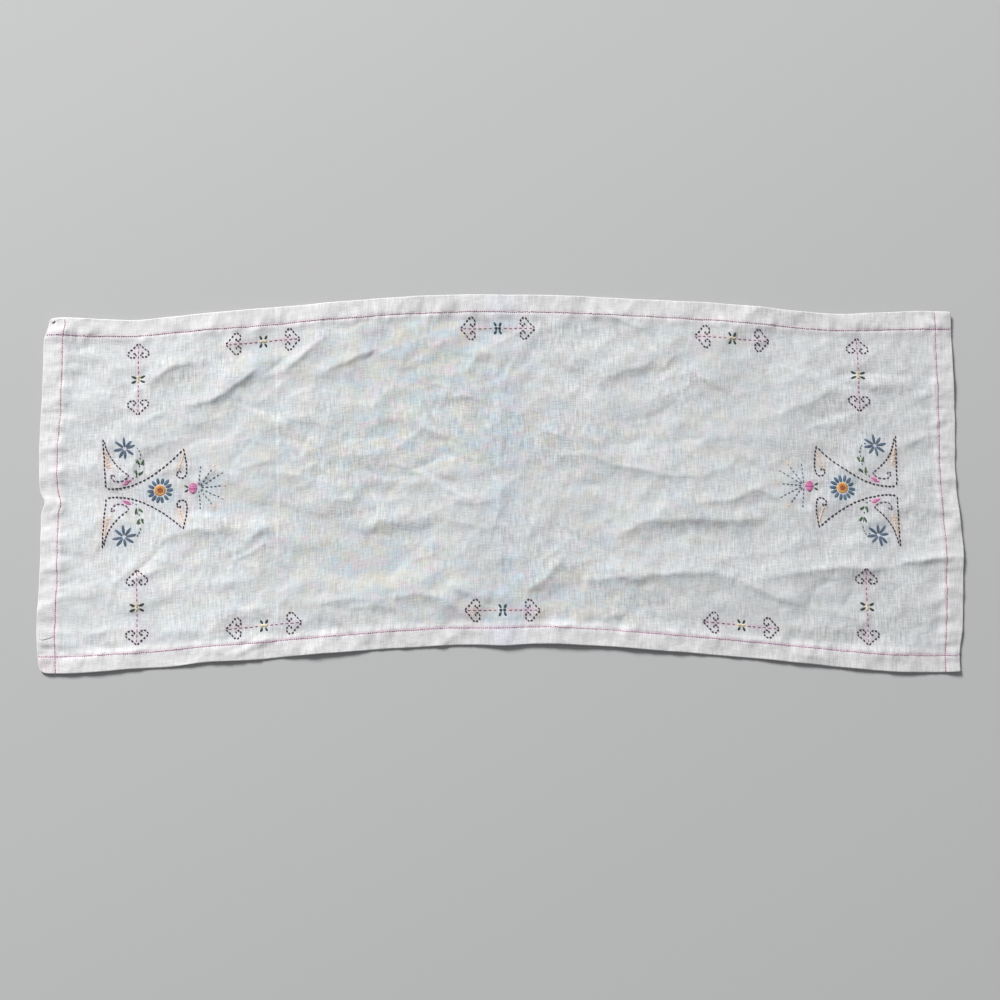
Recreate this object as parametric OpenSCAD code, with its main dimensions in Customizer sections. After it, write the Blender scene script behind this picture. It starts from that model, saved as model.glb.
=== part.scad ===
// Hand-embroidered linen table runner, lying flat with its face up.
// X runs along the length, Y towards the far long edge and Z up; the underside rests on Z = 0.
// Cloth positions are given as [u, v]: u along the runner from its middle, v across it from
// its centreline.  lay() carries them to where the slightly bowed cloth lies on the table.

/* [Cloth] */
// Length of the finished runner
runner_length = 1000; // [940:10:1200]
// Width of the finished runner
runner_width = 388; // [360:1:450]
// Thickness of one layer of linen
linen_thickness = 0.45; // [0.3:0.05:0.6]
// How far the middle of the far edge lies beyond its corners
far_bow = 27; // [0:1:40]
// How far the middle of the near edge lies inside its corners
near_bow = 34; // [0:1:40]
// How far the far right corner lies beyond the far left one
far_right_lift = 7; // [0:1:10]

/* [Hem] */
// Width of the folded hem
hem_width = 20; // [18:1:24]
// Layers of linen in the folded hem
hem_layers = 3; // [2:1:3]
// Distance of the hem's stitch line from the outer edge
hem_line_inset = 18.5; // [16:0.5:22]
// Distance from one hem stitch to the next
hem_stitch_pitch = 5; // [4:0.5:8]
// Width of a hem stitch
hem_stitch_width = 0.8; // [0.5:0.1:1.2]

/* [Threads] */
// Height of a stitch above the linen
stitch_height = 0.6; // [0.4:0.1:1]
// Width of a running stitch
stitch_width = 1.2; // [0.8:0.1:1.6]
// Share of each stitch step that shows as thread
stitch_share = 0.66; // [0.5:0.02:0.8]
// Height of the padded satin stitch in petals, bud and flower centres
satin_height = 0.9; // [0.6:0.1:1.2]

/* [Border motifs] */
// Distance of the long sides' crosses from their edge
long_side_inset = 36; // [34:1:44]
// Distance of the long sides' outer crosses from the middle
long_side_spacing = 258; // [250:1:280]
// Distance of the end motifs' crosses from the end edge
end_inset = 105; // [100:1:115]
// Distance of the end motifs' crosses from the long edge
end_cross_inset = 68; // [66:1:72]
// Distance from a cross to the tip of its scroll
scroll_tip = 41; // [40:0.5:44]

/* [End flowers] */
// Distance of the daisy's centre from the end edge
daisy_inset = 128; // [124:1:140]
// Number of petals on the daisy
daisy_petals = 14; // [12:1:14]
// Radius of the daisy over its petals
daisy_radius = 14; // [13:0.5:15]
// Radius of the daisy's satin centre
daisy_centre_radius = 6.4; // [5.5:0.1:6.6]
// Radius of the satin bud
bud_radius = 5.6; // [5:0.1:6]
// Radius of the small flowers over their petals
side_flower_radius = 12; // [11:0.5:12.5]

/* [Hidden] */

linen_colour = [0.86, 0.85, 0.82];
hem_colour = [0.9, 0.89, 0.87];
mauve = [0.62, 0.4, 0.5];
charcoal = [0.1, 0.1, 0.14];
rose = [0.82, 0.5, 0.6];
olive = [0.25, 0.33, 0.22];
yellow = [0.9, 0.8, 0.45];
peach = [0.93, 0.78, 0.68];
steel_blue = [0.4, 0.52, 0.65];
orange = [0.88, 0.5, 0.18];
slate_blue = [0.38, 0.42, 0.52];
grey_green = [0.36, 0.42, 0.38];
pink = [0.87, 0.45, 0.65];
grey_blue = [0.45, 0.5, 0.58];

left = -1;
right = 1;
both_ways = [-1, 1];
half_length = runner_length / 2;
half_width = runner_width / 2;
panel_half_length = half_length - hem_width;
panel_half_width = half_width - hem_width;
hem_thickness = hem_layers * linen_thickness;
edge_steps = 24;

// Centre and turn of each border motif's stem line
long_side_v = half_width - long_side_inset;
end_u = half_length - end_inset;
end_v = half_width - end_cross_inset;
far_left_motif = [-long_side_spacing, long_side_v, 0];
far_centre_motif = [0, long_side_v, 0];
far_right_motif = [long_side_spacing, long_side_v, 0];
near_left_motif = [-long_side_spacing, -long_side_v, 0];
near_centre_motif = [0, -long_side_v, 0];
near_right_motif = [long_side_spacing, -long_side_v, 0];
left_end_far_motif = [-end_u, end_v, 90];
left_end_near_motif = [-end_u, -end_v, 90];
right_end_far_motif = [end_u, end_v, 90];
right_end_near_motif = [end_u, -end_v, 90];

// Stitch starts along one lobe of a scroll, measured from the scroll's tip
lobe_points = [
    [0.4, 0.6], [3.6, 3.6], [6.7, 6.8], [8.8, 10.4], [12.2, 12], [15.4, 9.8],
    [16.6, 6], [14.6, 2.4], [11.2, 3.4], [11.8, 7]
];
stem_start = 4.5;
stem_end = 38;
stem_steps = 6;

// The wings of an end flower, measured from its daisy towards the runner's middle and outwards
outer_tip = [-61.5, 59.5];
outer_corner = [-59, 5];
inner_tip = [26.4, 44];
outer_scroll = [
    [-34, 19.3], [-35.5, 16.3], [-39.6, 13.3], [-44.4, 12.4], [-48.9, 12.7],
    [-52.2, 15.6], [-53.5, 19.4], [-50.2, 19.8], [-49, 17]
];
inner_scroll = [
    [28.6, 15], [25.9, 12.2], [22.2, 12], [18.8, 14.3], [18.2, 18.2], [21.4, 20.3], [23.2, 17.4]
];
side_flower_at = [-38, 48.4];
side_flower_petals = 8;
bud_at = [36, 0];
bud_tip = [42, 0];
// Angle and length of each ray of the bud
rays = [[85, 24], [53, 24], [29, 31], [0, 24], [-29, 31], [-53, 24], [-85, 24]];
ray_start = 3;
ray_pitch = 4.6;

// ---- Cloth and thread geometry ----

function bow(v) = near_bow + (far_bow - near_bow) * (v / runner_width + 0.5);

function right_lift(p) = far_right_lift * max(0, 2 * p.x / runner_length) * (p.y / runner_width + 0.5);

function lay(p) =
    [p.x, p.y + bow(p.y) * pow(cos(180 * p.x / runner_length), 2) - far_bow / 2 + right_lift(p)];

function along(v, u_from, u_to) =
    [for (i = [0:edge_steps]) lay([u_from + (u_to - u_from) * i / edge_steps, v])];

function curve(a, b, c, d, steps) = [
    for (i = [0:steps])
        let (t = i / steps, s = 1 - t)
            s * s * s * a + 3 * s * s * t * b + 3 * s * t * t * c + t * t * t * d
];

function line(a, b, steps) = [for (i = [0:steps]) a + (b - a) * i / steps];

function polar(radius, angle) = radius * [cos(angle), sin(angle)];

// A strip of cloth between two lines across and two lines along the runner
module cloth(u_from, u_to, v_from, v_to, thickness) {
    linear_extrude(thickness)
        polygon(concat(along(v_from, u_from, u_to), along(v_to, u_to, u_from)));
}

// One stitch between two points of the cloth, pointed at both ends
module stitch(a, b, width, height, base) {
    start = lay(a);
    step = lay(b) - start;
    reach = norm(step);
    tip = min(width, reach) / 2;
    translate([start.x, start.y, base])
        rotate(atan2(step.y, step.x))
            linear_extrude(height)
                polygon([
                    [0, 0], [tip, -width / 2], [reach - tip, -width / 2],
                    [reach, 0], [reach - tip, width / 2], [tip, width / 2]
                ]);
}

module running_stitch(points, width = stitch_width, base = linen_thickness) {
    for (i = [0:len(points) - 2]) {
        shown = points[i] + (points[i + 1] - points[i]) * stitch_share;
        stitch(points[i], shown, width, stitch_height, base);
    }
}

module petal(centre, from_radius, to_radius, angle, width) {
    stitch(centre + polar(from_radius, angle), centre + polar(to_radius, angle),
        width, satin_height, linen_thickness);
}

module satin_disc(centre, radius) {
    spot = lay(centre);
    translate([spot.x, spot.y, linen_thickness])
        cylinder(h = satin_height, r = radius, $fn = 48);
}

// ---- Hems ----

module long_hem(side, v_sign) {
    v_inner = v_sign * panel_half_width;
    v_outer = v_sign * half_width;
    cloth(0, side * panel_half_length, v_inner, v_outer, hem_thickness);
}

module end_hem(side) {
    cloth(side * panel_half_length, side * half_length, -half_width, half_width, hem_thickness);
}

// The long runs of hem stitches cross those of the ends and carry on to the outer edge
module long_hem_thread(side, v_sign) {
    v = v_sign * (half_width - hem_line_inset);
    crossing_u = half_length - hem_line_inset;
    first_u = hem_stitch_pitch * (1 - stitch_share) / 2;
    steps = floor((crossing_u - 1 - first_u) / hem_stitch_pitch);
    last_u = first_u + steps * hem_stitch_pitch;
    running_stitch(line([side * first_u, v], [side * last_u, v], steps),
        hem_stitch_width, hem_thickness);
    running_stitch(line([side * (crossing_u + 2), v], [side * (half_length - 1), v], 3),
        hem_stitch_width, hem_thickness);
}

module end_hem_thread(side) {
    u = side * (half_length - hem_line_inset);
    steps = floor((runner_width - 2) / hem_stitch_pitch);
    reach = steps * hem_stitch_pitch / 2;
    running_stitch(line([u, -reach], [u, reach], steps), hem_stitch_width, hem_thickness);
}

// ---- Border motifs ----

// A motif's own point, with x along its stem, at the motif's place on the cloth
function motif_point(motif, p) =
    [motif.x, motif.y] + p.x * polar(1, motif.z) + p.y * polar(1, motif.z + 90);

module scrolls(motif, ways = both_ways) {
    for (way = ways)
        for (lobe = both_ways)
            running_stitch([
                for (p = lobe_points) motif_point(motif, [way * (scroll_tip - p.x), lobe * p.y])
            ]);
}

module stems(motif, ways = both_ways) {
    for (way = ways)
        running_stitch([
            for (p = line([stem_end, 0], [stem_start, 0], stem_steps))
                motif_point(motif, [way * p.x, 0])
        ], 0.9);
}

module cross(motif, ways = both_ways) {
    leaf_width = 1.8;
    reach = motif.z == 0 ? 6.3 : 7.8;
    for (way = ways)
        for (lean = both_ways)
            stitch(motif_point(motif, [way * 1.5, lean * 2]), motif_point(motif, [way * 4, lean * reach]),
                leaf_width, stitch_height, linen_thickness);
}

module cross_centre(motif, ways = both_ways) {
    for (way = ways)
        stitch(motif_point(motif, [way * 0.3, 0]), motif_point(motif, [way * 3.6, 0]),
            1.6, stitch_height, linen_thickness);
}

// ---- End flowers ----

// A point of the end flower, with x from the daisy towards the runner's middle
function flower_point(side, p, way = 1) = [side * (half_length - daisy_inset - p.x), way * p.y];

function flower_points(side, points, way = 1) = [for (p = points) flower_point(side, p, way)];

module wing_outline(side) {
    for (way = both_ways) {
        running_stitch(flower_points(side, line(outer_tip, outer_corner, 12), way));
        running_stitch(flower_points(side,
            curve([-57, 5], [-30, 1.5], [2, 20], inner_tip - [1, 1], 20), way));
        running_stitch(flower_points(side,
            curve(outer_tip + [1.8, -3], [-57, 42], [-49, 29], outer_scroll[0], 11), way));
        running_stitch(flower_points(side, outer_scroll, way));
        running_stitch(flower_points(side,
            curve(inner_tip, [28.5, 34], [30.5, 24], inner_scroll[0], 7), way));
        running_stitch(flower_points(side, inner_scroll, way));
    }
}

// Zigzag stitches that fill both tips of a wing, and the far ends of three rays
module wing_filling(side) {
    for (way = both_ways) {
        for (row = [0:5]) {
            v = 46 - 3.4 * row;
            reach = 2 + row;
            stitch(flower_point(side, [-59.8, v], way),
                flower_point(side, [reach - 59.8, v - 1.6], way),
                0.8, stitch_height, linen_thickness);
        }
        for (row = [0:4])
            stitch(flower_point(side, [26.8 - 0.9 * row, 37.5 - 3.4 * row], way),
                flower_point(side, [25.2 - 1.4 * row, 35.8 - 3.4 * row], way),
                0.8, stitch_height, linen_thickness);
    }
    for (ray = [rays[1], rays[3], rays[5]])
        stitch(flower_point(side, bud_tip + polar(ray[1] + 2.5, ray[0])),
            flower_point(side, bud_tip + polar(ray[1] + 6, ray[0])),
            stitch_width, stitch_height, linen_thickness);
}

module daisy_petal_ring(side) {
    centre = flower_point(side, [0, 0]);
    for (i = [0:daisy_petals - 1])
        petal(centre, daisy_centre_radius + 0.5, daisy_radius, 360 * i / daisy_petals, 2.7);
}

module side_flowers(side) {
    for (way = both_ways)
        for (i = [0:side_flower_petals - 1])
            petal(flower_point(side, side_flower_at, way), 3.4, side_flower_radius,
                360 * i / side_flower_petals + 8, 2.4);
}

module flower_stems(side) {
    for (way = both_ways)
        running_stitch(flower_points(side,
            curve([-24.4, 48.6], [-22, 46.4], [-20.5, 43], [-20.8, 37.5], 3), way), 0.9);
}

module leaves(side) {
    pairs = [
        [[-22, 29.5], [-25, 35.5]], [[-20.4, 29.5], [-17.6, 35]],
        [[-25.6, 17.6], [-26.4, 24.8]], [[-23.4, 18.2], [-18.6, 22.6]]
    ];
    for (way = both_ways) {
        for (leaf = pairs)
            stitch(flower_point(side, leaf[0], way), flower_point(side, leaf[1], way),
                1.8, stitch_height, linen_thickness);
        stitch(flower_point(side, [27.4, 3.2], way), flower_point(side, [30, 1.7], way),
            1.4, stitch_height, linen_thickness);
    }
}

module bud(side) {
    satin_disc(flower_point(side, bud_at), bud_radius);
    for (way = both_ways)
        for (row = [0:1])
            stitch(flower_point(side, [2.2 * row - 39, 9.6 + 2.2 * row], way),
                flower_point(side, [2.2 * row - 35.2, 10.6 + 2.2 * row], way),
                1.1, stitch_height, linen_thickness);
}

module bud_rays(side) {
    for (ray = rays) {
        steps = floor((ray[1] - ray_start) / ray_pitch + 0.5);
        running_stitch(flower_points(side, line(bud_tip + polar(ray_start, ray[0]),
            bud_tip + polar(ray[1] + 1.5, ray[0]), steps)), 1);
    }
}

// ---- Sub-parts ----

module linen_panel_left() {
    color(linen_colour)
        cloth(-panel_half_length, 0, -panel_half_width, panel_half_width, linen_thickness);
}

module linen_panel_right() {
    color(linen_colour)
        cloth(0, panel_half_length, -panel_half_width, panel_half_width, linen_thickness);
}

module hem_far_left() { color(hem_colour) long_hem(left, 1); }
module hem_far_right() { color(hem_colour) long_hem(right, 1); }
module hem_near_left() { color(hem_colour) long_hem(left, -1); }
module hem_near_right() { color(hem_colour) long_hem(right, -1); }
module hem_left_end() { color(hem_colour) end_hem(left); }
module hem_right_end() { color(hem_colour) end_hem(right); }

module hem_thread_far_left() { color(mauve) long_hem_thread(left, 1); }
module hem_thread_far_right() { color(mauve) long_hem_thread(right, 1); }
module hem_thread_near_left() { color(mauve) long_hem_thread(left, -1); }
module hem_thread_near_right() { color(mauve) long_hem_thread(right, -1); }
module hem_thread_left_end() { color(mauve) end_hem_thread(left); }
module hem_thread_right_end() { color(mauve) end_hem_thread(right); }

module scrolls_far_left() { color(charcoal) scrolls(far_left_motif); }
module scroll_far_centre_left() { color(charcoal) scrolls(far_centre_motif, [left]); }
module scroll_far_centre_right() { color(charcoal) scrolls(far_centre_motif, [right]); }
module scrolls_far_right() { color(charcoal) scrolls(far_right_motif); }
module scrolls_near_left() { color(charcoal) scrolls(near_left_motif); }
module scroll_near_centre_left() { color(charcoal) scrolls(near_centre_motif, [left]); }
module scroll_near_centre_right() { color(charcoal) scrolls(near_centre_motif, [right]); }
module scrolls_near_right() { color(charcoal) scrolls(near_right_motif); }
module scrolls_left_end_far() { color(charcoal) scrolls(left_end_far_motif); }
module scrolls_left_end_near() { color(charcoal) scrolls(left_end_near_motif); }
module scrolls_right_end_far() { color(charcoal) scrolls(right_end_far_motif); }
module scrolls_right_end_near() { color(charcoal) scrolls(right_end_near_motif); }

module stems_far_left() { color(rose) stems(far_left_motif); }
module stem_far_centre_left() { color(rose) stems(far_centre_motif, [left]); }
module stem_far_centre_right() { color(rose) stems(far_centre_motif, [right]); }
module stems_far_right() { color(rose) stems(far_right_motif); }
module stems_near_left() { color(rose) stems(near_left_motif); }
module stem_near_centre_left() { color(rose) stems(near_centre_motif, [left]); }
module stem_near_centre_right() { color(rose) stems(near_centre_motif, [right]); }
module stems_near_right() { color(rose) stems(near_right_motif); }
module stems_left_end_far() { color(rose) stems(left_end_far_motif); }
module stems_left_end_near() { color(rose) stems(left_end_near_motif); }
module stems_right_end_far() { color(rose) stems(right_end_far_motif); }
module stems_right_end_near() { color(rose) stems(right_end_near_motif); }

module crosses_left() {
    color(olive) {
        for (m = [far_left_motif, near_left_motif, left_end_far_motif, left_end_near_motif])
            cross(m);
        for (m = [far_centre_motif, near_centre_motif])
            cross(m, [left]);
    }
}

module crosses_right() {
    color(olive) {
        for (m = [far_right_motif, near_right_motif, right_end_far_motif, right_end_near_motif])
            cross(m);
        for (m = [far_centre_motif, near_centre_motif])
            cross(m, [right]);
    }
}

module cross_centres_left() {
    color(yellow) {
        for (m = [far_left_motif, near_left_motif, left_end_far_motif, left_end_near_motif])
            cross_centre(m);
        for (m = [far_centre_motif, near_centre_motif])
            cross_centre(m, [left]);
    }
}

module cross_centres_right() {
    color(yellow) {
        for (m = [far_right_motif, near_right_motif, right_end_far_motif, right_end_near_motif])
            cross_centre(m);
        for (m = [far_centre_motif, near_centre_motif])
            cross_centre(m, [right]);
    }
}

module wing_outline_left() { color(charcoal) wing_outline(left); }
module wing_outline_right() { color(charcoal) wing_outline(right); }
module wing_filling_left() { color(peach) wing_filling(left); }
module wing_filling_right() { color(peach) wing_filling(right); }
module daisy_petals_left() { color(steel_blue) daisy_petal_ring(left); }
module daisy_petals_right() { color(steel_blue) daisy_petal_ring(right); }
module daisy_centre_left() { color(orange) satin_disc(flower_point(left, [0, 0]), daisy_centre_radius); }
module daisy_centre_right() { color(orange) satin_disc(flower_point(right, [0, 0]), daisy_centre_radius); }
module side_flowers_left() { color(slate_blue) side_flowers(left); }
module side_flowers_right() { color(slate_blue) side_flowers(right); }
module flower_stems_left() { color(grey_green) flower_stems(left); }
module flower_stems_right() { color(grey_green) flower_stems(right); }
module leaves_left() { color(olive) leaves(left); }
module leaves_right() { color(olive) leaves(right); }
module bud_left() { color(pink) bud(left); }
module bud_right() { color(pink) bud(right); }
module bud_rays_left() { color(grey_blue) bud_rays(left); }
module bud_rays_right() { color(grey_blue) bud_rays(right); }

linen_panel_left();
linen_panel_right();
hem_far_left();
hem_far_right();
hem_near_left();
hem_near_right();
hem_left_end();
hem_right_end();
hem_thread_far_left();
hem_thread_far_right();
hem_thread_near_left();
hem_thread_near_right();
hem_thread_left_end();
hem_thread_right_end();
scrolls_far_left();
scroll_far_centre_left();
scroll_far_centre_right();
scrolls_far_right();
scrolls_near_left();
scroll_near_centre_left();
scroll_near_centre_right();
scrolls_near_right();
scrolls_left_end_far();
scrolls_left_end_near();
scrolls_right_end_far();
scrolls_right_end_near();
stems_far_left();
stem_far_centre_left();
stem_far_centre_right();
stems_far_right();
stems_near_left();
stem_near_centre_left();
stem_near_centre_right();
stems_near_right();
stems_left_end_far();
stems_left_end_near();
stems_right_end_far();
stems_right_end_near();
crosses_left();
crosses_right();
cross_centres_left();
cross_centres_right();
wing_outline_left();
wing_outline_right();
wing_filling_left();
wing_filling_right();
daisy_petals_left();
daisy_petals_right();
daisy_centre_left();
daisy_centre_right();
side_flowers_left();
side_flowers_right();
flower_stems_left();
flower_stems_right();
leaves_left();
leaves_right();
bud_left();
bud_right();
bud_rays_left();
bud_rays_right();
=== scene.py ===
import math

import bpy
import numpy as np
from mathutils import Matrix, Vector
from mathutils.kdtree import KDTree
from numpy.linalg import norm


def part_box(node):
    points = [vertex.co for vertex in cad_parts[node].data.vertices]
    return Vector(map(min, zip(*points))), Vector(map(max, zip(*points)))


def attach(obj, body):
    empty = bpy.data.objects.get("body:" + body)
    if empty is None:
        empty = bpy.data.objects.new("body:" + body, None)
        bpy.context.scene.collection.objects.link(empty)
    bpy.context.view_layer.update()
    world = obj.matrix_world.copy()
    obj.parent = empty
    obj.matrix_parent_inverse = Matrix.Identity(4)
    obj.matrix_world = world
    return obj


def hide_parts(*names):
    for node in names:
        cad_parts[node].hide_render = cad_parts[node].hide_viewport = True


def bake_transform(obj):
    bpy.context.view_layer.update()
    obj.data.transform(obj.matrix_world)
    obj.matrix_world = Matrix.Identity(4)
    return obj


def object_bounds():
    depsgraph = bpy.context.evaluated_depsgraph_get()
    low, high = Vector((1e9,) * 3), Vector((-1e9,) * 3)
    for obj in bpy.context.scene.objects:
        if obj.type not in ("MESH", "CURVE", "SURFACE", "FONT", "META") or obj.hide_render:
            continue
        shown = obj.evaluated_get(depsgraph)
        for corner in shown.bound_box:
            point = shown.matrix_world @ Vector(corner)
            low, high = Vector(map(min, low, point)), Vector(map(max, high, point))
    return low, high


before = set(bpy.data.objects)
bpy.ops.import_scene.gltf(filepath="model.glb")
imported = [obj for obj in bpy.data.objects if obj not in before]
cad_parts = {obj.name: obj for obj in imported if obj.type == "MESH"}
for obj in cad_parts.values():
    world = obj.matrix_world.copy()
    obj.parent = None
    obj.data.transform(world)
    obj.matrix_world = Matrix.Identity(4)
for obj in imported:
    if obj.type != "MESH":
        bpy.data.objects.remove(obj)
cad_low, cad_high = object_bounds()

# ---- Sizes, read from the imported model, in metres ----

MM = 0.001
SIDES = ("left", "right")
left_end_low, left_end_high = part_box("hem_left_end")
right_end_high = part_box("hem_right_end")[1]
far_hem_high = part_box("hem_far_left")[1]
near_hem_low, near_hem_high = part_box("hem_near_left")

runner_length = cad_high.x - cad_low.x
runner_width = left_end_high.y - left_end_low.y
hem_width = left_end_high.x - left_end_low.x
hem_thickness = left_end_high.z
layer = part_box("linen_panel_left")[1].z
far_bow = far_hem_high.y - left_end_high.y
near_bow = near_hem_high.y - near_hem_low.y - hem_width
far_right_lift = right_end_high.y - left_end_high.y
end_line_low, end_line_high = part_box("hem_thread_left_end")
hem_line_inset = (end_line_low.x + end_line_high.x) / 2 - cad_low.x
half_length = runner_length / 2
half_width = runner_width / 2

# Half the width of cloth that bends in the fold, and the room left under the cloth for strands
FOLD_HALF_WIDTH = 6 * MM
UNDERSIDE_ROOM = 0.4 * MM


# ---- Plan geometry ----

def unit(vectors):
    return vectors / norm(vectors, axis=-1, keepdims=True)


def turned(vector):
    """A vector of the plan, turned a quarter to the left."""
    return np.array([-vector[1], vector[0]])


def heading(angle):
    return np.array([math.cos(angle), math.sin(angle)])


def hump(offset, reach):
    """1 where the offset is 0, and fading to 0 beyond a reach in mm."""
    return np.exp(-(offset / (reach * MM)) ** 2)


# ---- Where the cloth lies ----

def bow_share(u):
    return np.cos(np.pi * u / runner_length) ** 2


def lay_terms(u):
    """Shift and stretch of the cloth across the runner at u, so that y = shift + stretch * v."""
    share = bow_share(u)
    lift = far_right_lift * np.maximum(0, 2 * u / runner_length)
    shift = share * (near_bow + far_bow) / 2 + lift / 2 - far_bow / 2
    stretch = 1 + (share * (far_bow - near_bow) + lift) / runner_width
    return shift, stretch


def lay(u, v):
    """Where the point u, v of the straight cloth lies in the CAD model."""
    shift, stretch = lay_terms(u)
    return u, shift + stretch * v


def unlay(x, y):
    shift, stretch = lay_terms(x)
    return x, (y - shift) / stretch


def smooth_step(edge_0, edge_1, value):
    t = np.clip((value - edge_0) / (edge_1 - edge_0), 0, 1)
    return t * t * (3 - 2 * t)


LATTICE = 128


def in_lattice(x, y, cell):
    """Which cells of a square lattice x, y are in, and how far they are across those cells."""
    px, py = x / cell + LATTICE / 2, y / cell + LATTICE / 2
    ix, iy = np.floor(px).astype(int), np.floor(py).astype(int)
    return ix, iy, px - ix, py - iy


def ripple(x, y, cell, seed):
    """Smooth noise from about -1 to 1, whose bumps are about a cell apart."""
    angles = np.random.default_rng(seed).uniform(0, 2 * np.pi, (LATTICE, LATTICE))
    ix, iy, fx, fy = in_lattice(x, y, cell)
    sx, sy = (t * t * t * (t * (t * 6 - 15) + 10) for t in (fx, fy))
    total = 0
    for step_x, weight_x in ((0, 1 - sx), (1, sx)):
        for step_y, weight_y in ((0, 1 - sy), (1, sy)):
            angle = angles[(ix + step_x) % LATTICE, (iy + step_y) % LATTICE]
            slope = np.cos(angle) * (fx - step_x) + np.sin(angle) * (fy - step_y)
            total = total + weight_x * weight_y * slope
    return 1.5 * total


def facets(x, y, cell, seed):
    """Crumpled facets about a cell across, low in their middles and about 1 on the creases between."""
    spots = np.random.default_rng(seed).uniform(0.1, 0.9, (LATTICE, LATTICE, 2))
    ix, iy, fx, fy = in_lattice(x, y, cell)
    nearest = np.inf
    for step_x in (-1, 0, 1):
        for step_y in (-1, 0, 1):
            spot = spots[(ix + step_x) % LATTICE, (iy + step_y) % LATTICE]
            square = (step_x + spot[..., 0] - fx) ** 2 + (step_y + spot[..., 1] - fy) ** 2
            nearest = np.minimum(nearest, square)
    return np.sqrt(nearest + 0.02) * 1.3


def crumple(x, y):
    """Height of the crumpling left by folding and handling."""
    bend_x, bend_y = 9 * MM * ripple(x, y, 0.05, 61), 9 * MM * ripple(x, y, 0.05, 62)
    px, py = x + bend_x, y + bend_y
    lean_x, lean_y = 0.94 * px + 0.34 * py, 0.94 * py - 0.34 * px
    strength = 0.55 + 0.6 * np.clip(0.5 + ripple(x, y, 0.11, 63), 0, 1.2)
    total = 1.3 * MM * facets(lean_x * 0.62, lean_y, 0.036, 64)
    total = total + 0.55 * MM * facets(px * 0.8, py * 0.9, 0.021, 65)
    total = total + 0.11 * MM * facets(px, py * 0.8, 0.0105, 66)
    return strength * (total - 1.1 * MM)


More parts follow.
